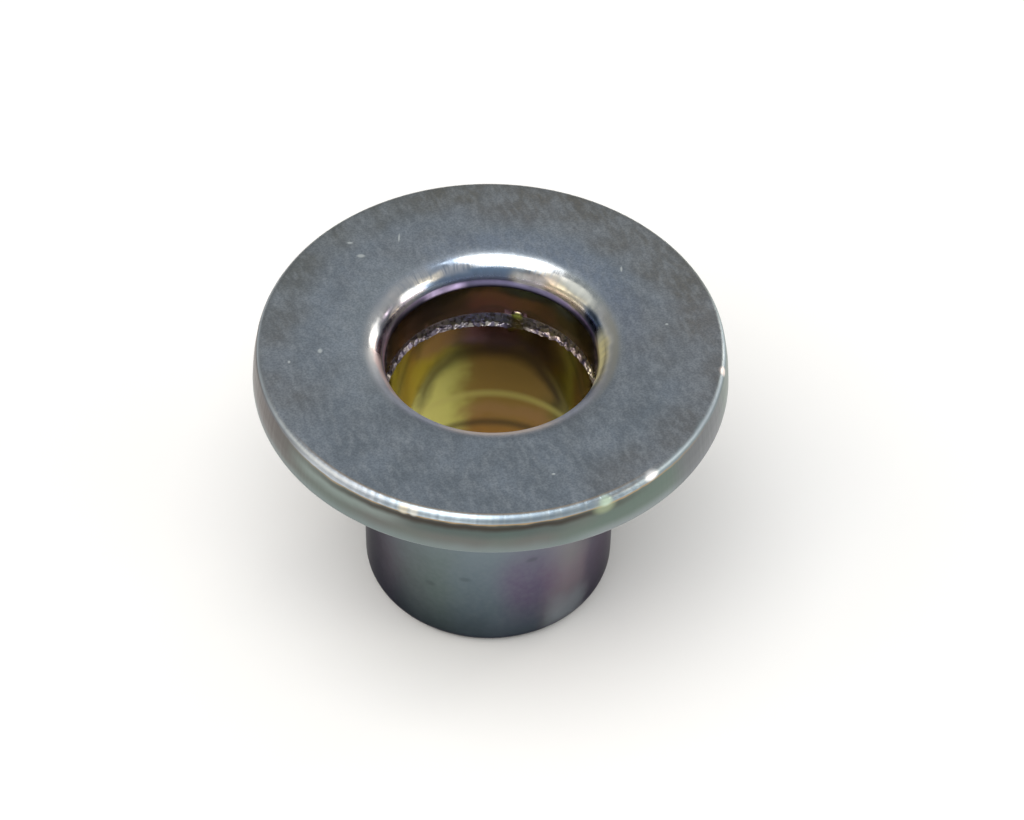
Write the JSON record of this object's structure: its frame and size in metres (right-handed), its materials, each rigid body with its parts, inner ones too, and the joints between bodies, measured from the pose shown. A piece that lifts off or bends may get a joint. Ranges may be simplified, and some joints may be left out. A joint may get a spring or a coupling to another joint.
{
  "type": "flanged bushing",
  "caption": "One-piece steel flanged bushing: a wide flat flange with a rounded mouth, a short straight barrel and a through bore.",
  "frame": {"origin": "centre of the barrel's end face, on the bore's axis", "axes": "+Z along the bore's axis, from the barrel's end to the flange's face"},
  "size_m": [0.0234, 0.0234, 0.0158],
  "materials": {
    "plated_steel": "bright zinc plating with a blue and yellow iridescent passivation, satin on the flange face and polished in the bore"
  },
  "bodies": {
    "root": {"flanged_bushing": "plated_steel"}
  },
  "joints": []
}
